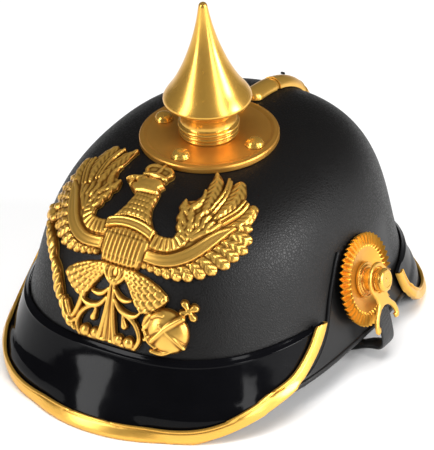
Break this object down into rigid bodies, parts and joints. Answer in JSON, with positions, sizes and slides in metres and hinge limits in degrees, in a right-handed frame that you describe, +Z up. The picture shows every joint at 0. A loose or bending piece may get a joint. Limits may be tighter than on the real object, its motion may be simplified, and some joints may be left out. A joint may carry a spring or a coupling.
{
  "type": "spiked helmet",
  "caption": "Black moulded helmet with a gold spike on a round crown plate, a heraldic eagle badge, gold-edged guards, fluted side rosettes and a chin strap.",
  "frame": {"origin": "middle of the helmet's bounding box in plan, on the surface it stands on", "axes": "+Z up along the spike, -Y out of the front where the eagle is, +X to the wearer's left"},
  "size_m": [0.2162, 0.2721, 0.2061],
  "materials": {
    "grained_black": "black moulded plastic with a fine leather grain",
    "glossy_black": "glossy black plastic",
    "satin_black": "satin black plastic",
    "gold": "satin gold metallised plastic",
    "badge_gold": "bright gold metallised relief",
    "elastic": "black woven elastic"
  },
  "bodies": {
    "root": {"shell": "grained_black", "front_peak": "glossy_black", "rear_peak": "satin_black", "side_strip_left": "satin_black", "side_strip_right": "satin_black", "vent_knob": "satin_black", "front_trim": "gold", "rear_trim": "gold", "crown_plate": "gold", "crown_stud_1": "gold", "crown_stud_2": "gold", "crown_stud_3": "gold", "crown_stud_4": "gold", "spike": "gold", "spine": "gold", "vent_slide": "gold", "rosette_left": "gold", "rosette_right": "gold", "rosette_post_left": "gold", "rosette_post_right": "gold", "strap_hook_left": "gold", "strap_hook_right": "gold", "eagle_plate": "badge_gold", "chin_strap": "elastic"}
  },
  "joints": []
}
